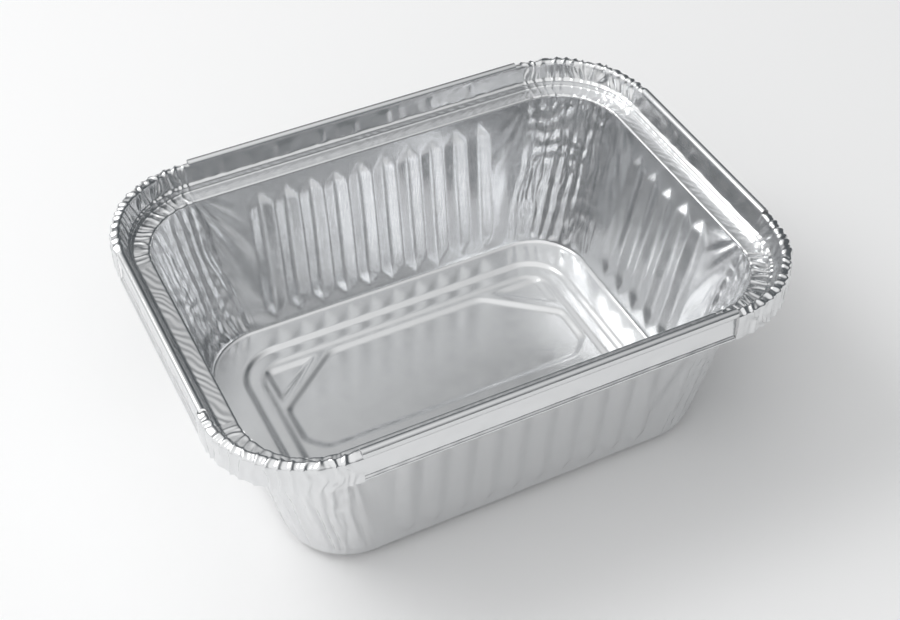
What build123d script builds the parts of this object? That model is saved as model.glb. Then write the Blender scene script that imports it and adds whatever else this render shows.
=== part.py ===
"""Aluminium foil tray, pressed from one sheet.

The tray is the space between two volumes of the same shape: the inside of
the tray and the same volume grown by the foil's thickness.  The rim is one
thin profile, run along the four sides and turned round the four corners.

Own frame, millimetres: origin under the middle of the base, +X along the
long side, +Z up, z = 0 on the underside of the lowest panel.
"""

from build123d import *

import os
from math import atan2, cos, degrees, radians, sin

# Overall sizes
rim_length = 145.0  # between the crown lines of the two short hems
rim_width = 106.6  # between the crown lines of the two long hems
height = 55.5  # from the table to the top of the hem
foil = 0.12  # thickness of the sheet

# Tub
base_length = 111.6  # inside, at the foot of the walls
base_width = 81.4
base_corner = 16.0  # corner radius at the foot
mouth_corner = 17.0  # corner radius at the mouth
foot_round = 1.0  # inside radius where wall meets base

# Rim profile, measured outward and upward from the mouth's edge
rim_reach = 7.5  # mouth's edge to the crown line
rim_rise = 7.3  # ledge to the top of the hem
ledge_width = 4.3
shoulder_rise = 1.7  # bead between ledge and flange
shoulder_step = 0.7
roll_radius = 0.95  # rolled top of the straight hems
skirt_drop = 0.3  # skirt's raw edge below the ledge
hem_setback = 1.2  # straight hems end this far before the corner arc
mouth_round = 0.6  # wall turning into ledge

# Flutes pressed outward in the walls
flute_pitch = 7.1
flute_depth = 0.85
flute_flat = 1.1  # width of the flat bottom
flute_land = 0.3  # crest left between two flutes
flute_cap = 4.2  # length of the pointed ends
flute_foot_gap = 2.2  # wall's foot to the lower points
flute_ledge_gap = 3.0  # upper points to the ledge
flute_margin_long = 4.7  # plain wall between flutes and corner arc
flute_margin_short = 6.2

# Pleats gathered in the corners
pleat_count = 8
pleat_depth = 0.4
pleat_flat = 0.25
pleat_fill = 0.78  # share of the pitch that a pleat takes

# Base panels, pressed downward one inside the other
ring_drop = 0.8  # gutter to the framed floor
frame_drop = 0.4  # framed floor to the middle floor
panel_drop = 0.6  # middle floor to the resting panels
ring_margin = 7.4  # wall's foot to the ring's slope
frame_margin = 11.9  # wall's foot to the frame's slope
panel_margin = 14.2  # wall's foot to triangles and octagon
slope_run = 1.3  # plan width of each slope
triangle_leg_x = 15.2
triangle_leg_far = 12.3
triangle_leg_near = 18.3
panel_gap = 3.3  # triangle to octagon, along X
octagon_near_edge = -5.5  # the octagon sits toward the +Y side
octagon_near_cut = 5.0

# Fits derived from the sizes above
floor_z = ring_drop + frame_drop + panel_drop + foil
ledge_z = height - rim_rise
mouth_z = ledge_z - mouth_round
mouth_length = rim_length - 2 * rim_reach
mouth_width = rim_width - 2 * rim_reach
corner_x = mouth_length / 2 - mouth_corner
corner_y = mouth_width / 2 - mouth_corner
overlap = 0.3  # share of its depth that a pressed form reaches back


def at_height(base, mouth, z):
    """Size between foot and mouth at height z, straight walls."""
    return base + (mouth - base) * (z - floor_z) / (mouth_z - floor_z)


def tub(grow, top_z):
    """Tapered volume: the inside for grow 0, the outside for grow = foil."""
    with BuildPart() as volume:
        for z in (floor_z - grow, top_z):
            with BuildSketch(Plane.XY.offset(z)):
                RectangleRounded(
                    at_height(base_length, mouth_length, z) + 2 * grow,
                    at_height(base_width, mouth_width, z) + 2 * grow,
                    at_height(base_corner, mouth_corner, z) + grow,
                )
        loft(ruled=True)
        fillet(volume.edges().group_by(Axis.Z)[0], foot_round + grow)
    return volume.part


def groove(plane, half_length, half_width, flat, depth, cap, grow):
    """Boat-shaped groove pressed outward from a wall plane."""
    half_flat = flat / 2
    tip = cap * half_flat / half_width

    def outline(out):
        share = out / depth
        width = half_width + (half_flat - half_width) * share + grow * 0.14
        point = half_length + (tip - cap) * share
        shoulder = half_length - cap
        return [
            (width, shoulder),
            (0, point),
            (-width, shoulder),
            (-width, -shoulder),
            (0, -point),
            (width, -shoulder),
        ]

    with BuildPart() as form:
        for out in (-overlap * depth, depth):
            with BuildSketch(plane.offset(out + grow)):
                with BuildLine():
                    Polyline(*outline(out), close=True)
                make_face()
        loft(ruled=True)
    return form.part


def wall_line(foot, mouth, z_low, z_high):
    """Middle, direction and half length of a groove on a wall's line."""

    def on_wall(z):
        return at_height(foot, mouth, z) + Vector(0, 0, z)

    low, high = on_wall(z_low), on_wall(z_high)
    return (low + high) * 0.5, (high - low).normalized(), (high - low).length / 2


def wall_grooves(grow):
    """Flutes of the four walls, one list of solids."""
    low = floor_z + flute_foot_gap
    high = ledge_z - flute_ledge_gap
    made = []
    sides = (
        (0, base_length, mouth_length, base_width, flute_margin_short),
        (90, base_width, mouth_width, base_length, flute_margin_long),
    )
    for turn, base, mouth, run, margin in sides:
        band = run - 2 * (base_corner + margin)
        count = max(1, round(band / flute_pitch))
        pitch = band / count
        for angle in (turn, turn + 180):
            out = Vector(cos(radians(angle)), sin(radians(angle)), 0)
            along = Vector(-out.Y, out.X, 0)
            middle, up, half = wall_line(out * (base / 2), out * (mouth / 2), low, high)
            for k in range(count):
                origin = middle + along * ((k - (count - 1) / 2) * pitch)
                plane = Plane(origin=origin, x_dir=along, z_dir=along.cross(up))
                half_width = (pitch - flute_land) / 2
                made.append(
                    groove(plane, half, half_width, flute_flat, flute_depth, flute_cap, grow)
                )
    return made


def corner_pleats(grow):
    """Pleats round the four corners, one list of solids."""
    low = floor_z + flute_foot_gap
    high = ledge_z - flute_ledge_gap
    pitch = 90 / pleat_count
    half_width = pleat_fill * radians(pitch) * base_corner / 2
    foot_x = base_length / 2 - base_corner
    foot_y = base_width / 2 - base_corner
    made = []
    for quarter in range(4):
        sign_x = 1 if quarter in (0, 3) else -1
        sign_y = 1 if quarter in (0, 1) else -1
        for k in range(pleat_count):
            angle = radians(90 * quarter + (k + 0.5) * pitch)
            out = Vector(cos(angle), sin(angle), 0)
            foot = Vector(sign_x * foot_x, sign_y * foot_y, 0) + out * base_corner
            mouth = Vector(sign_x * corner_x, sign_y * corner_y, 0) + out * mouth_corner
            middle, up, half = wall_line(foot, mouth, low, high)
            tangent = Vector(-out.Y, out.X, 0)
            side = (tangent - up * tangent.dot(up)).normalized()
            plane = Plane(origin=middle, x_dir=side, z_dir=side.cross(up))
            made.append(
                groove(plane, half, half_width, pleat_flat, pleat_depth, flute_cap, grow)
            )
    return made


def pressed_panel(points, corner, top_z, drop, grow):
    """Panel pressed downward: outline at top_z, smaller by the slope below."""
    lift = overlap * drop
    spread = slope_run * overlap + grow * 0.3
    slant = degrees(atan2(slope_run, drop))
    with BuildPart() as panel:
        with BuildSketch(Plane.XY.offset(top_z + lift - grow)) as outline:
            with BuildLine():
                Polyline(*points, close=True)
            make_face()
            offset(amount=spread, kind=Kind.INTERSECTION)
            fillet(outline.vertices(), corner + spread)
        extrude(amount=-(drop + lift), taper=slant)
    return panel.part


def rectangle_points(margin):
    """Corners of a rectangle this far inside the wall's foot."""
    x = base_length / 2 - margin
    y = base_width / 2 - margin
    return [(x, y), (-x, y), (-x, -y), (x, -y)]


def triangle_points(sign_x, sign_y, leg_y):
    """Corner triangle, right angle toward the tray's corner."""
    x = base_length / 2 - panel_margin
    y = base_width / 2 - panel_margin
    corner = (sign_x * x, sign_y * y)
    return [
        corner,
        (sign_x * (x - triangle_leg_x), sign_y * y),
        (sign_x * x, sign_y * (y - leg_y)),
    ]


def octagon_points():
    """Middle panel: long cuts beside the far triangles, short near ones."""
    x = base_length / 2 - panel_margin
    far = base_width / 2 - panel_margin
    near = octagon_near_edge
    cut_x = triangle_leg_x + panel_gap
    cut_y = cut_x * triangle_leg_far / triangle_leg_x
    half = [
        (x - cut_x, far),
        (x, far - cut_y),
        (x, near + octagon_near_cut),
        (x - octagon_near_cut, near),
    ]
    return half + [(-px, py) for px, py in reversed(half)]


def base_panels(grow):
    """All panels of the base, one list of solids."""
    frame_z = floor_z - ring_drop
    middle_z = frame_z - frame_drop
    made = [
        pressed_panel(rectangle_points(ring_margin), base_corner * 0.72, floor_z, ring_drop, grow),
        pressed_panel(rectangle_points(frame_margin), base_corner * 0.5, frame_z, frame_drop, grow),
        pressed_panel(octagon_points(), 3.5, middle_z, panel_drop, grow),
    ]
    for sign_x in (1, -1):
        for sign_y, leg in ((1, triangle_leg_far), (-1, triangle_leg_near)):
            points = triangle_points(sign_x, sign_y, leg)
            made.append(pressed_panel(points, 2.0, middle_z, panel_drop, grow))
    return made


def tray_volume(grow, top_z):
    """Tub with every groove and panel joined to it."""
    with BuildPart() as volume:
        add(tub(grow, top_z))
        for form in wall_grooves(grow) + corner_pleats(grow) + base_panels(grow):
            add(form)
    return volume.part


def rim_section(plane, rolled):
    """Thin face of the rim: rolled hem on the sides, open fold in corners."""
    flange_foot = ledge_width + shoulder_step
    crown_in = rim_reach - roll_radius
    crown_out = rim_reach + roll_radius
    common = [
        (0, -mouth_round),
        (0, 0),
        (ledge_width, 0),
        (ledge_width, shoulder_rise),
        (flange_foot, shoulder_rise + 0.3),
    ]
    common_radii = [mouth_round * 0.9, 0.35, 0.3, 0.3]
    neck = rim_rise - 1.9 * roll_radius
    if rolled:
        tail = [
            (crown_in, rim_rise - roll_radius),
            (crown_in, rim_rise),
            (crown_out, rim_rise),
            (crown_out, neck),
            (rim_reach + 0.35, neck - 0.15),
            (rim_reach + 0.9, -skirt_drop),
        ]
        tail_radii = [0.4, roll_radius * 0.98, roll_radius * 0.98, 0.3, 0.25]
    else:
        tail = [
            (crown_in, rim_rise - roll_radius),
            (crown_in + 0.6, rim_rise - 0.5),
            (crown_out + 0.5, rim_rise - 1.2),
            (crown_out + 0.7, skirt_drop),
        ]
        tail_radii = [0.4, 0.7, 0.9]
    with BuildSketch(plane) as section:
        with BuildLine():
            FilletPolyline(*(common + tail), radius=common_radii + tail_radii)
            offset(amount=foil, side=Side.RIGHT, kind=Kind.INTERSECTION)
        make_face()
    return section.sketch


def rim_quarter():
    """Rim of the +X +Y quarter: two half sides and the corner between."""
    at_side = Plane(
        origin=(mouth_length / 2, corner_y, ledge_z), x_dir=(1, 0, 0), z_dir=(0, -1, 0)
    )
    at_end = Plane(
        origin=(corner_x, mouth_width / 2, ledge_z), x_dir=(0, 1, 0), z_dir=(1, 0, 0)
    )
    with BuildPart() as quarter:
        for plane, run, way in ((at_side, corner_y, 1), (at_end, corner_x, -1)):
            extrude(rim_section(plane, rolled=False), amount=way * hem_setback)
            hem_start = plane.offset(way * hem_setback)
            extrude(rim_section(hem_start, rolled=True), amount=way * (run - hem_setback))
        axis = Axis((corner_x, corner_y, 0), (0, 0, 1))
        revolve(rim_section(at_side, rolled=False), axis=axis, revolution_arc=90)
    return quarter.part


os.makedirs("parts", exist_ok=True)

with BuildPart() as tray:
    add(tray_volume(foil, mouth_z))
    add(tray_volume(0, mouth_z + 1), mode=Mode.SUBTRACT)
    with BuildPart(mode=Mode.PRIVATE) as rim:
        add(rim_quarter())
        mirror(about=Plane.YZ)
        mirror(about=Plane.XZ)
    add(rim.part)

tray.part.label = "tray"
export_step(tray.part, "parts/tray.step")
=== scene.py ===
"""Looks of the aluminium foil tray: one pressed sheet, worked out as smooth surfaces with numpy.

Everything is in millimetres until a mesh is made.  A side's own axes are
"along" (counter-clockwise round the tray) and "out"; its corner is the one
that follows it.  Every surface is the face that the food touches; the other
face lies one foil thickness behind it.
"""

import math

import bpy
import numpy as np
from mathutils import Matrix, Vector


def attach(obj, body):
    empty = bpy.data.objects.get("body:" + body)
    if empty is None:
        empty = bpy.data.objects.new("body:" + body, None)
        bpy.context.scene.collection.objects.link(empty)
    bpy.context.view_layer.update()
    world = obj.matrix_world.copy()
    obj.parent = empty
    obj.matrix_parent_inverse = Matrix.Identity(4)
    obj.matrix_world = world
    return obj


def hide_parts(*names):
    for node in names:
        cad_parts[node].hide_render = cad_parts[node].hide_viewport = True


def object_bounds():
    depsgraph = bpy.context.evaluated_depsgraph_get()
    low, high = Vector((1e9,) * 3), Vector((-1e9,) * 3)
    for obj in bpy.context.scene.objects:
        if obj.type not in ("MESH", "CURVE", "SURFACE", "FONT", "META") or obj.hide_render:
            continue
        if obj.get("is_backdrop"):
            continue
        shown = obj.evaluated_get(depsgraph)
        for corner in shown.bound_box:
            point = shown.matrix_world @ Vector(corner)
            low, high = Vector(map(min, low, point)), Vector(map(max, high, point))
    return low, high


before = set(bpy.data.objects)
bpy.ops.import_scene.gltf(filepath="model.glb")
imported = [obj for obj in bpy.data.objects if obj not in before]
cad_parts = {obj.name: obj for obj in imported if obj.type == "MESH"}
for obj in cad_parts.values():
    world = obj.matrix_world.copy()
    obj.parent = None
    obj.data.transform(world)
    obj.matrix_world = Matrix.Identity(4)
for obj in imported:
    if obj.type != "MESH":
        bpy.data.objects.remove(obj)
cad_low, cad_high = (np.array(corner, dtype=float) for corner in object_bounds())

MM = 0.001
FOIL = 0.12

# Overall sizes, from the frame's box
SKIRT_OUT = 1.65  # crown line to the corner skirt's outer face
CROWN = cad_high / MM - np.array([SKIRT_OUT, SKIRT_OUT, 0.0])

# Rim profile, outward and upward from the mouth's edge
REACH = 7.5
RISE = 7.3
LEDGE = 4.3
SHOULDER_RISE = 1.7
SHOULDER_STEP = 0.7
ROLL = 1.1
LIP_TOP = 0.4  # ledge down to the curled lip of the skirt
SKIRT_DROP = 1.6  # ledge down to the skirt's lower end
MOUTH_ROUND = 0.6
HEM_SETBACK = 1.2

# Base panels: drop of each level, and plan distance from the wall's foot
DROPS = (0.8, 0.4, 0.6)
MARGINS = (7.4, 11.9, 14.2)
SLOPE_RUN = 1.3
TRIANGLE_X = 15.2
TRIANGLE_FAR = 12.3
TRIANGLE_NEAR = 18.3
PANEL_GAP = 3.3
OCTAGON_NEAR = -5.5
OCTAGON_CUT = 5.0

# Tub
FLOOR_Z = sum(DROPS) + FOIL
LEDGE_Z = CROWN[2] - RISE
MOUTH_Z = LEDGE_Z - MOUTH_ROUND
MOUTH = CROWN[:2] - REACH
MOUTH_R = 17.0
FOOT = MOUTH - np.array([9.2, 5.1])
FOOT_R = 16.0
FOOT_ROUND = 1.0
ARC = math.pi / 2 * (FOOT_R + MOUTH_R) / 2  # mean length of a corner

# Flutes
PITCHES = {0: 7.4, 1: 7.02}
COUNTS = {0: 5, 1: 10}
FLUTE_DEPTH = 0.85
FLUTE_FLAT = 1.1
FLUTE_LAND = 0.3
FLUTE_CAP = 4.2
FLUTE_LOW = FLOOR_Z + 2.2
FLUTE_HIGH = LEDGE_Z - 3.0

# Mesh steps
STEP_FLUTE = 0.42
STEP_CORNER = 0.26
STEP_WALL = 0.85
STEP_GATHER = 0.5
STEP_RIM = 0.4
STEP_RIM_CORNER = 0.24

# Studio, in metres and watts
FLOOR_HALF = 3.0
FLOOR_GAP = 0.0001  # under the base, so that the two never share a plane
KEY_PLACE = (-0.42, 0.3, 0.62)
KEY_SIZE = 0.38
KEY_POWER = 2.1
BRIGHT_SIDE = (-0.62, -0.12, 0.78)


def value_noise(x, y, seed):
    """Smooth random field in -1..1: random lattice values blended with 3t^2 - 2t^3."""
    lattice = np.random.default_rng(seed).uniform(-1, 1, (64, 64))
    column = np.floor(x).astype(int)
    row = np.floor(y).astype(int)
    fx = x - column
    fy = y - row
    fx = fx * fx * (3 - 2 * fx)
    fy = fy * fy * (3 - 2 * fy)
    a = lattice[column % 64, row % 64]
    b = lattice[(column + 1) % 64, row % 64]
    c = lattice[column % 64, (row + 1) % 64]
    d = lattice[(column + 1) % 64, (row + 1) % 64]
    return (a * (1 - fx) + b * fx) * (1 - fy) + (c * (1 - fx) + d * fx) * fy


def ridge(x):
    """Zigzag of period 1 between -0.5 and 0.5, creased at both turns."""
    return 2 * np.abs(x - np.floor(x) - 0.5) - 0.5


def soft_positive(x, radius):
    """max(0, x) with its corner rounded over about the radius."""
    return 0.5 * (x + np.sqrt(x * x + radius * radius))


def soft_unit(x, radius):
    """x held between 0 and 1 with both corners rounded."""
    return soft_positive(x, radius) - soft_positive(x - 1, radius)


def smooth(x):
    """Smooth step from 0 at x = 0 to 1 at x = 1."""
    t = np.clip(x, 0, 1)
    return t * t * (3 - 2 * t)


def filleted(points, radii, step):
    """Open polyline with an arc at each inner corner, as points about a step apart."""
    points = np.array(points, dtype=float)
    pieces = [points[:1]]
    for before, corner, after, radius in zip(points, points[1:], points[2:], radii):
        back = (before - corner) / np.linalg.norm(before - corner)
        on = (after - corner) / np.linalg.norm(after - corner)
        half = math.acos(np.clip(back @ on, -1, 1)) / 2
        reach = radius / math.tan(half)
        middle = (back + on) / np.linalg.norm(back + on)
        centre = corner + middle * radius / math.sin(half)
        start = corner + back * reach - centre
        end = corner + on * reach - centre
        turn = math.atan2(start[0] * end[1] - start[1] * end[0], start @ end)
        angles = np.linspace(0, turn, max(3, int(abs(turn) / 0.12)))
        cos, sin = np.cos(angles)[:, None], np.sin(angles)[:, None]
        pieces.append(centre + cos * start + sin * np.array([-start[1], start[0]]))
    line = np.concatenate(pieces + [points[-1:]])
    gaps = np.linalg.norm(np.diff(line, axis=0), axis=1)
    length = np.concatenate([[0], np.cumsum(gaps)])
    at = np.linspace(0, length[-1], int(length[-1] / step) + 1)
    path = np.stack([np.interp(at, length, line[:, 0]), np.interp(at, length, line[:, 1])], 1)
    return path, at


def rim_profile(rolled):
    """Section of the rim: ledge, bead, flange, then the rolled hem or the corner's open fold."""
    crown_in = REACH - ROLL
    crown_out = REACH + ROLL
    neck = RISE - 1.9 * ROLL
    points = [
        (0, -MOUTH_ROUND),
        (0, 0),
        (LEDGE, 0),
        (LEDGE, SHOULDER_RISE),
        (LEDGE + SHOULDER_STEP, SHOULDER_RISE + 0.3),
        (crown_in, RISE - ROLL),
    ]
    radii = [MOUTH_ROUND * 0.9, 0.35, 0.3, 0.3, 0.4]
    if rolled:
        points += [
            (crown_in, RISE),
            (crown_out, RISE),
            (crown_out, neck),
            (REACH + 0.35, neck - 0.15),
            (REACH + 0.8, -LIP_TOP),
            (REACH + 1.45, -LIP_TOP - 0.35),
            (REACH + 1.4, -SKIRT_DROP),
            (REACH + 0.75, -SKIRT_DROP),
        ]
        radii += [ROLL * 0.98, ROLL * 0.98, 0.3, 0.25, 0.25, 0.3, 0.35]
    else:
        points += [
            (crown_in + 0.6, RISE - 0.6),
            (crown_out + 0.3, RISE - 1.3),
            (crown_out + 0.3, -SKIRT_DROP + 0.3),
        ]
        radii += [0.7, 0.9]
    return filleted(points, radii, 0.3)


def side_frame(side):
    """Outward and along directions of a side, its distances and its straight half lengths."""
    angle = side * math.pi / 2
    out = np.array([math.cos(angle), math.sin(angle)])
    along = np.array([-math.sin(angle), math.cos(angle)])
    axis = side % 2
    return {
        "out": out,
        "along": along,
        "foot": FOOT[axis],
        "mouth": MOUTH[axis],
        "foot_half": FOOT[1 - axis] - FOOT_R,
        "mouth_half": MOUTH[1 - axis] - MOUTH_R,
    }


def gather(corner, a, s):
    """Depth of the gathers in a corner: a along the arc, s up the sheet, both in mm.

    Long pleats that wander and fork, finer pleats between them, and diamond
    creases where two slanting zigzags multiply; all fade out past the arc's ends.
    """
    seed = 100 * (corner + 1)
    wander = value_noise(a / 7, s / 16, seed) + 0.5 * value_noise(a / 3, s / 8, seed + 1)
    long_pleats = ridge(a / 3.3 + 0.45 * wander)
    fine = ridge(a / 1.55 + 0.7 * value_noise(a / 4, s / 6, seed + 2) + 0.5 * wander)
    slant = 0.3 * value_noise(a / 5, s / 9, seed + 3)
    diamonds = ridge((a + 0.42 * s) / 4.1 + slant) * ridge((a - 0.38 * s) / 4.6 - slant)
    weight = 0.65 + 0.35 * value_noise(a / 6, s / 10, seed + 4)
    ends = smooth((a + 3.0) / 5.5) * smooth((ARC + 3.0 - a) / 5.5)
    return ends * (0.5 * long_pleats + 0.2 * fine * weight + 1.1 * diamonds * weight)


def draw_ripples(side, along_gap, top_gap, end):
    """Smooth folds that fan out over the plain wall from the corner's top."""
    angle = np.arctan2(top_gap + 4.0, along_gap + 1.5)
    reach = np.hypot(along_gap, top_gap)
    fan = value_noise(angle * 6.5 + 3, reach / 26, 700 + 10 * side + end)
    return 0.42 * fan * smooth(along_gap / 2.0 + 0.3) * smooth((11.5 - along_gap) / 7.0)


def side_columns(side):
    """Along positions of a wall's columns: even over the flutes, then out to the corner."""
    info = side_frame(side)
    band = PITCHES[side % 2] * COUNTS[side % 2] / 2 + 0.6
    inner = np.linspace(-band, band, int(2 * band / STEP_FLUTE) + 1)
    outer = np.linspace(0, 1, int((info["mouth_half"] - band) / STEP_FLUTE) + 2)[1:]
    return band, inner, outer


def wall_rows(step):
    """Heights of the rows: round the foot, then evenly to the mouth."""
    turn = np.linspace(0, math.pi / 2, 7)
    up = np.linspace(FLOOR_Z + FOOT_ROUND, MOUTH_Z, int((MOUTH_Z - FLOOR_Z) / step))
    heights = np.concatenate([FLOOR_Z + FOOT_ROUND * (1 - np.cos(turn)), up[1:]])
    inset = np.concatenate([FOOT_ROUND * (1 - np.sin(turn)), np.zeros(len(up) - 1)])
    return heights, inset


def side_wall(side):
    """Flat tapered wall: rows lean from foot to mouth, and the flutes are pressed outward.

    A flute is a flat-bottomed trough with straight facets; past its shoulders
    the distance from its middle grows with the way beyond them, which makes
    the pointed end.
    """
    info = side_frame(side)
    band, inner, outer = side_columns(side)
    heights, inset = wall_rows(STEP_WALL)
    share = (heights - FLOOR_Z) / (MOUTH_Z - FLOOR_Z)
    end = info["foot_half"] + (info["mouth_half"] - info["foot_half"]) * share
    right = band + (end[:, None] - band) * outer[None, :]
    left = -right[:, ::-1]
    middle = np.repeat(inner[None, :], len(heights), 0)
    along = np.concatenate([left, middle, right], axis=1)
    z = np.repeat(heights[:, None], along.shape[1], 1)
    out = info["foot"] + (info["mouth"] - info["foot"]) * share - inset
    out = np.repeat(out[:, None], along.shape[1], 1)

    pitch = PITCHES[side % 2]
    count = COUNTS[side % 2]
    index = np.clip(np.floor(along / pitch + count / 2), 0, count - 1)
    centre = (index - (count - 1) / 2) * pitch
    wobble = 0.12 * value_noise(index * 1.7 + 5, z / 14, 40 + side)
    half_width = (pitch - FLUTE_LAND) / 2
    middle_z = (FLUTE_LOW + FLUTE_HIGH) / 2 + 0.25 * value_noise(index * 2.3, index * 0, 60 + side)
    shoulder = (FLUTE_HIGH - FLUTE_LOW) / 2 - FLUTE_CAP
    past = soft_positive(np.abs(z - middle_z) - shoulder, 0.6)
    distance = np.abs(along - centre - wobble) + past * half_width / FLUTE_CAP
    flute = soft_unit((half_width - distance) / (half_width - FLUTE_FLAT / 2), 0.07)
    depth = FLUTE_DEPTH * flute

    span = np.repeat(end[:, None], along.shape[1], 1)
    top_gap = MOUTH_Z - z
    depth += draw_ripples(side, span - along, top_gap, 1)
    depth += draw_ripples(side, span + along, top_gap, 2)
    depth += gather(side, along - span, z) + gather((side + 3) % 4, ARC + along + span, z)
    depth += 0.05 * value_noise(along / 9, z / 9, 80 + side)
    depth *= smooth((z - FLOOR_Z - FOOT_ROUND * 0.6) / 2.5)
    depth *= 1 - 0.85 * smooth((z - MOUTH_Z + 2.2) / 2.2)
    lean = math.atan2(info["mouth"] - info["foot"], MOUTH_Z - FLOOR_Z)
    out = out + depth * math.cos(lean)
    z = z - depth * math.sin(lean)
    plan = out[..., None] * info["out"] + along[..., None] * info["along"]
    return np.concatenate([plan, z[..., None]], axis=2)


def corner_wall(corner):
    """Tapered quarter round between two walls, gathered into pleats along its normal."""
    heights, inset = wall_rows(STEP_GATHER)
    share = (heights - FLOOR_Z) / (MOUTH_Z - FLOOR_Z)
    turn = np.linspace(0, math.pi / 2, int(ARC / STEP_CORNER) + 1)
    sign = np.array([1 if corner in (0, 3) else -1, 1 if corner in (0, 1) else -1])
    foot_centre = (FOOT - FOOT_R) * sign
    mouth_centre = (MOUTH - MOUTH_R) * sign
    centre = foot_centre + (mouth_centre - foot_centre) * share[:, None]
    radius = FOOT_R + (MOUTH_R - FOOT_R) * share - inset
    z = np.repeat(heights[:, None], len(turn), 1)
    a = np.repeat(turn[None, :], len(heights), 0) / (math.pi / 2) * ARC
    depth = gather(corner, a, z)
    depth *= smooth((z - FLOOR_Z - FOOT_ROUND * 0.6) / 2.5)
    depth *= 1 - 0.55 * smooth((z - MOUTH_Z + 2.2) / 2.2)
    angle = turn + corner * math.pi / 2
    out = np.stack([np.cos(angle), np.sin(angle)], 1)
    plan = centre[:, None, :] + (radius[:, None] + depth)[..., None] * out[None]
    return np.concatenate([plan, z[..., None]], axis=2)


def path_normals(path):
    """Unit normals of a profile, to the left of its direction."""
    slope = np.gradient(path, axis=0)
    slope /= np.linalg.norm(slope, axis=1)[:, None]
    return np.stack([-slope[:, 1], slope[:, 0]], 1)


def rim_side(side):
    """Rim of one side: the rolled profile carried along it, softly wrinkled along its normal."""
    info = side_frame(side)
    path, length = rim_profile(True)
    normal = path_normals(path)
    half = info["mouth_half"] - HEM_SETBACK
    along = np.linspace(-half, half, int(2 * half / STEP_RIM) + 1)
    q, s = np.meshgrid(along, length)
    seed = 300 + 20 * side
    ledge_end = LEDGE + 0.6
    on_ledge = smooth((s - 0.6) / 1.0) * smooth((ledge_end - s) / 1.0)
    flange = smooth((s - ledge_end - 1.6) / 1.2) * smooth((ledge_end + 6.6 - s) / 2.0)
    skirt = smooth((s - length[-1] + 6.0) / 1.5)
    diagonal = ridge((q + 1.6 * s) / 3.1 + 0.8 * value_noise(q / 5, s / 3, seed))
    depth = 0.11 * on_ledge * diagonal * (0.6 + 0.4 * value_noise(q / 6, s / 4, seed + 1))
    teeth = value_noise(q / 1.9, s / 7, seed + 2) + 0.5 * ridge(q / 4.3 + 0.3 * s / 5)
    depth += 0.13 * flange * teeth
    depth += 0.06 * skirt * value_noise(q / 2.6, s / 2.2, seed + 3)
    d = path[:, :1] + normal[:, :1] * depth + info["mouth"]
    z = path[:, 1:] + normal[:, 1:] * depth + LEDGE_Z
    plan = d[..., None] * info["out"] + q[..., None] * info["along"]
    return np.concatenate([plan, z[..., None]], axis=2)


def rim_corner(corner):
    """Rim of one corner: the open profile turned round it, with radial pleats that open outward."""
    path, length = rim_profile(False)
    normal = path_normals(path)
    reach = MOUTH_R + REACH * 0.7
    total = HEM_SETBACK * 2 + reach * math.pi / 2
    at = np.linspace(-HEM_SETBACK, total - HEM_SETBACK, int(total / STEP_RIM_CORNER) + 1)
    q, s = np.meshgrid(at, length)
    a = np.clip(q / reach / (math.pi / 2), 0, 1) * ARC
    seed = 500 + 20 * corner
    start = gather(corner, a, MOUTH_Z + s) * 0.45 * (1 - smooth(s / 3.0))
    fork = value_noise(a / 2.2, s / 3.5, seed)
    pleats = ridge(a / 1.9 + 0.55 * fork) + 0.5 * ridge(a / 0.95 + 0.8 * fork)
    lift = 0.16 * smooth(s / 2.0) + 0.2 * smooth((s - LEDGE) / 5.0) + 0.12 * smooth((s - 11.0) / 3.0)
    ends = smooth((q + HEM_SETBACK) / 2.5) * smooth((total - HEM_SETBACK - q) / 2.5)
    depth = start + lift * pleats * (0.35 + 0.65 * ends)
    depth += 0.3 * smooth((s - 8) / 4) * value_noise(a / 4.5, s / 5, seed + 1)
    d = path[:, :1] + normal[:, :1] * depth
    z = path[:, 1:] + normal[:, 1:] * depth + LEDGE_Z
    sign = np.array([1 if corner in (0, 3) else -1, 1 if corner in (0, 1) else -1])
    centre = (MOUTH - MOUTH_R) * sign
    turn = np.clip(q / reach, 0, math.pi / 2) + corner * math.pi / 2
    out = np.stack([np.cos(turn), np.sin(turn)], 2)
    tangent = np.stack([-np.sin(turn), np.cos(turn)], 2)
    past = q - np.clip(q, 0, reach * math.pi / 2)
    plan = centre + (MOUTH_R + d)[..., None] * out + past[..., None] * tangent
    return np.concatenate([plan, z[..., None]], axis=2)


def inside_distance(x, y, points, round_off):
    """Signed distance inward from a convex outline: the least over its edges, corners rounded."""
    points = np.array(points, dtype=float)
    following = np.roll(points, -1, axis=0)
    total = np.zeros_like(x)
    for start, end in zip(points, following):
        edge = (end - start) / np.linalg.norm(end - start)
        gap = (x - start[0]) * -edge[1] + (y - start[1]) * edge[0]
        total += np.exp(-np.clip(gap, -12, 60) / round_off)
    return -round_off * np.log(total)


def round_rectangle_distance(x, y, half_x, half_y, radius):
    """Signed distance inward from a rectangle with round corners."""
    dx = np.abs(x) - half_x + radius
    dy = np.abs(y) - half_y + radius
    outside = np.hypot(np.maximum(dx, 0), np.maximum(dy, 0))
    return radius - outside - np.minimum(np.maximum(dx, dy), 0)


def press(distance, drop):
    """Share of a panel's drop at this distance inside its outline: a straight slope, eased."""
    return drop * soft_unit(distance / SLOPE_RUN, 0.12)


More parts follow.
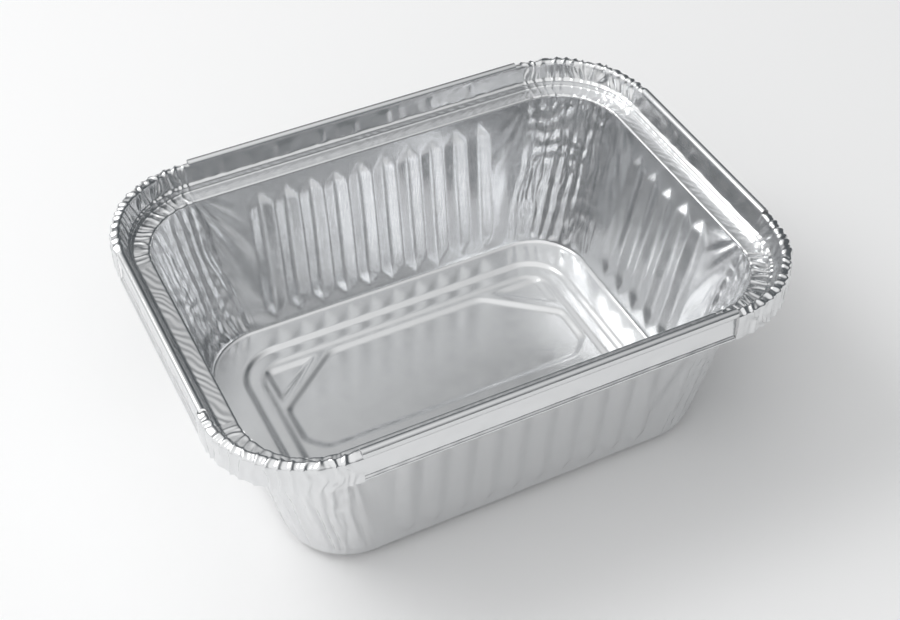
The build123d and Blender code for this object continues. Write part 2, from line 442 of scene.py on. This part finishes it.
def base_height(x, y):
    """Height of the base: three levels pressed down, triangles and octagon lowest."""
    half = FOOT
    z = np.full_like(x, FLOOR_Z)
    ring = round_rectangle_distance(x, y, *(half - MARGINS[0]), FOOT_R * 0.72)
    z -= press(ring, DROPS[0])
    inner = round_rectangle_distance(x, y, *(half - MARGINS[1]), FOOT_R * 0.5)
    z -= press(inner, DROPS[1])
    px, py = half - MARGINS[2]
    cut_x = TRIANGLE_X + PANEL_GAP
    cut_y = cut_x * TRIANGLE_FAR / TRIANGLE_X
    outline = [
        (px - OCTAGON_CUT, OCTAGON_NEAR),
        (px, OCTAGON_NEAR + OCTAGON_CUT),
        (px, py - cut_y),
        (px - cut_x, py),
    ]
    outline += [(-a, b) for a, b in reversed(outline)]
    panels = press(inside_distance(x, y, outline, 0.5), DROPS[2])
    mirrored = np.abs(x)
    far = [(px, py), (px - TRIANGLE_X, py), (px, py - TRIANGLE_FAR)]
    near = [(px, -py), (px, -py + TRIANGLE_NEAR), (px - TRIANGLE_X, -py)]
    for points in (far, near):
        panels += press(inside_distance(mirrored, y, points, 0.4), DROPS[2])
    z -= panels
    return z + 0.025 * (1 + value_noise(x / 16, y / 16, 900)) * smooth(ring / 4)


def base_panels():
    """Base inside the foot's round: a grid whose rows narrow to follow the round corners."""
    half = FOOT - FOOT_ROUND
    radius = FOOT_R - FOOT_ROUND
    straight = half[1] - radius
    turn = np.linspace(0, math.pi / 2, 50)[1:]
    top = straight + radius * np.sin(turn)
    rows = np.concatenate([-top[::-1], np.linspace(-straight, straight, 110), top])
    bend = np.maximum(np.abs(rows) - straight, 0)
    width = half[0] - radius + np.sqrt(np.maximum(radius**2 - bend**2, 0))
    share = np.linspace(-1, 1, 225)
    x = width[:, None] * share[None, :]
    y = np.repeat(rows[:, None], len(share), 1)
    return np.stack([x, y, base_height(x, y)], axis=2)


def surface_normals(points):
    """Unit normals of a grid: the cross product of its two directions."""
    rows = np.gradient(points, axis=0)
    columns = np.gradient(points, axis=1)
    normal = np.cross(columns, rows)
    return normal / np.maximum(np.linalg.norm(normal, axis=2), 1e-9)[..., None]


def grid_faces(rows, columns, first, flip):
    """Quads of a grid of points numbered row by row from the first."""
    index = first + np.arange(rows * columns).reshape(rows, columns)
    quads = [index[:-1, :-1], index[:-1, 1:], index[1:, 1:], index[1:, :-1]]
    if flip:
        quads = quads[::-1]
    return np.stack(quads, axis=2).reshape(-1, 4)


def sheet(points, food_side):
    """Thin closed sheet: the grid, the same grid one foil behind it, and strips round the edge.

    Points past the tray's own box, less a foil, are brought back to it first.
    """
    lowest = cad_low / MM + FOIL
    highest = cad_high / MM - np.array([FOIL, FOIL, 0.0])
    points = np.clip(points, lowest, highest)
    normal = surface_normals(points) * food_side
    back = points - normal * FOIL
    rows, columns = points.shape[:2]
    size = rows * columns
    verts = [points.reshape(-1, 3), back.reshape(-1, 3)]
    faces = [
        grid_faces(rows, columns, 0, food_side < 0),
        grid_faces(rows, columns, size, food_side > 0),
    ]
    smooth_count = 2 * len(faces[0])
    first = 2 * size
    edges = ((0, slice(None), 1), (-1, slice(None), -1), (slice(None), 0, -1), (slice(None), -1, 1))
    for row, column, way in edges:
        strip = np.stack([points[row, column], back[row, column]])
        verts.append(strip.reshape(-1, 3))
        faces.append(grid_faces(2, strip.shape[1], first, way * food_side > 0))
        first += 2 * strip.shape[1]
    return np.concatenate(verts), np.concatenate(faces), smooth_count


def make_piece(name, patches, material):
    """One mesh object from several sheets; the strips at the edges stay flat."""
    verts, faces, is_smooth, first = [], [], [], 0
    for points, food_side in patches:
        v, f, smooth_count = sheet(points, food_side)
        verts.append(v)
        faces.append(f + first)
        flags = np.zeros(len(f), dtype=bool)
        flags[:smooth_count] = True
        is_smooth.append(flags)
        first += len(v)
    verts = np.concatenate(verts) * MM
    faces = np.concatenate(faces)
    mesh = bpy.data.meshes.new(name)
    mesh.from_pydata(verts, [], faces.tolist())
    mesh.polygons.foreach_set("use_smooth", np.concatenate(is_smooth))
    mesh.update()
    piece = bpy.data.objects.new(name, mesh)
    bpy.context.scene.collection.objects.link(piece)
    mesh.materials.append(material)
    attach(piece, "root")
    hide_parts("tray")
    return piece


def linear(hex_colour):
    """sRGB hex to linear RGBA."""
    parts = [int(hex_colour[i : i + 2], 16) / 255 for i in (1, 3, 5)]
    return [c / 12.92 if c <= 0.04045 else ((c + 0.055) / 1.055) ** 2.4 for c in parts] + [1.0]


def add_node(tree, kind, inputs=None, **settings):
    """A node with its settings; an input is a plain value or an output to link from."""
    node = tree.nodes.new(kind)
    for key, value in settings.items():
        setattr(node, key, value)
    for key, value in (inputs or {}).items():
        if isinstance(value, bpy.types.NodeSocket):
            tree.links.new(value, node.inputs[key])
        else:
            node.inputs[key].default_value = value
    return node


def rolled_foil():
    """Rolled aluminium foil, bright side: a mirror dulled by fine rolling lines and scuffs."""
    material = bpy.data.materials.new("rolled_aluminium_foil")
    material.use_nodes = True
    tree = material.node_tree
    shader = tree.nodes["Principled BSDF"]
    shader.inputs["Metallic"].default_value = 1.0
    shader.inputs["Base Color"].default_value = linear("#E4E5E6")
    place = add_node(tree, "ShaderNodeTexCoord").outputs["Object"]
    # Rolling lines 0.15 mm apart and about 20 times as long, along X
    stretched = add_node(tree, "ShaderNodeMapping", {"Vector": place, "Scale": (300, 6000, 6000)})
    lines = add_node(
        tree, "ShaderNodeTexNoise", {"Vector": stretched.outputs[0], "Scale": 1.0, "Detail": 2.0}
    )
    # Scuffed patches about 6 mm across
    patches = add_node(tree, "ShaderNodeTexNoise", {"Vector": place, "Scale": 170.0, "Detail": 3.0})
    rough = add_node(
        tree,
        "ShaderNodeMapRange",
        {"Value": patches.outputs["Fac"], "From Min": 0.3, "From Max": 0.7, "To Min": 0.17, "To Max": 0.27},
    )
    tree.links.new(rough.outputs[0], shader.inputs["Roughness"])
    bump = add_node(
        tree, "ShaderNodeBump", {"Height": lines.outputs["Fac"], "Strength": 0.25, "Distance": 0.00003}
    )
    tree.links.new(bump.outputs[0], shader.inputs["Normal"])
    return material


def pale_floor():
    """Plain pale floor: matt white card, which keeps the tray's soft shadow."""
    material = bpy.data.materials.new("matt_white_card")
    material.use_nodes = True
    shader = material.node_tree.nodes["Principled BSDF"]
    shader.inputs["Base Color"].default_value = linear("#FAFAFA")
    shader.inputs["Roughness"].default_value = 0.9
    return material


def add_floor():
    """Square floor just under the tray."""
    mesh = bpy.data.meshes.new("floor")
    ways = ((-1, -1), (1, -1), (1, 1), (-1, 1))
    corners = [(x * FLOOR_HALF, y * FLOOR_HALF, -FLOOR_GAP) for x, y in ways]
    mesh.from_pydata(corners, [], [(0, 1, 2, 3)])
    floor = bpy.data.objects.new("floor", mesh)
    bpy.context.scene.collection.objects.link(floor)
    mesh.materials.append(pale_floor())
    floor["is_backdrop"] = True


def add_light(name, place, size, power):
    """Square soft light at a place, turned toward the tray's foot."""
    lamp = bpy.data.lights.new(name, "AREA")
    lamp.shape = "SQUARE"
    lamp.size = size
    lamp.energy = power
    light = bpy.data.objects.new(name, lamp)
    bpy.context.scene.collection.objects.link(light)
    towards = -np.array(place)
    flat = math.hypot(towards[0], towards[1])
    light.location = place
    light.rotation_euler = (
        math.atan2(flat, -towards[2]),
        0,
        math.atan2(towards[1], towards[0]) - math.pi / 2,
    )


def facing(tree, direction, towards, start, end):
    """Share 0..1 that grows smoothly as a direction turns towards a vector."""
    dot = add_node(tree, "ShaderNodeVectorMath", {0: direction, 1: towards}, operation="DOT_PRODUCT")
    return add_node(
        tree,
        "ShaderNodeMapRange",
        {"Value": dot.outputs["Value"], "From Min": start, "From Max": end},
        interpolation_type="SMOOTHSTEP",
    ).outputs[0]


def add_world():
    """Studio surround: a bright tent over the key side that falls off to grey behind it."""
    world = bpy.data.worlds.new("studio")
    bpy.context.scene.world = world
    world.use_nodes = True
    tree = world.node_tree
    background = tree.nodes["Background"]
    direction = add_node(tree, "ShaderNodeTexCoord").outputs["Generated"]
    key = facing(tree, direction, BRIGHT_SIDE, -0.05, 0.8)
    colour = add_node(
        tree, "ShaderNodeMix", {0: key, 6: linear("#5A5E61"), 7: linear("#FFFFFF")}, data_type="RGBA"
    )
    tree.links.new(colour.outputs[2], background.inputs["Color"])
    background.inputs["Strength"].default_value = 1.0


def add_camera():
    """Camera high over the tray's near left corner."""
    azimuth, elevation = math.radians(-26.56), math.radians(44.43)
    data = bpy.data.cameras.new("camera")
    data.lens = 60.96
    data.sensor_width = 36.0
    camera = bpy.data.objects.new("camera", data)
    camera.location = (-0.12206, -0.24529, 0.29573 + (FLOOR_Z - FOIL) * MM)
    camera.rotation_euler = (math.pi / 2 - elevation, 0, azimuth)
    bpy.context.scene.collection.objects.link(camera)
    bpy.context.scene.camera = camera


foil = rolled_foil()
make_piece("base_panels", [(base_panels(), 1)], foil)
make_piece("fluted_walls", [(side_wall(side), -1) for side in range(4)], foil)
make_piece("gathered_corners", [(corner_wall(corner), -1) for corner in range(4)], foil)
make_piece("rolled_hems", [(rim_side(side), -1) for side in range(4)], foil)
make_piece("corner_folds", [(rim_corner(corner), -1) for corner in range(4)], foil)

add_floor()
add_world()
add_light("key_softbox", KEY_PLACE, KEY_SIZE, KEY_POWER)
add_camera()
bpy.context.scene.view_settings.view_transform = "Standard"
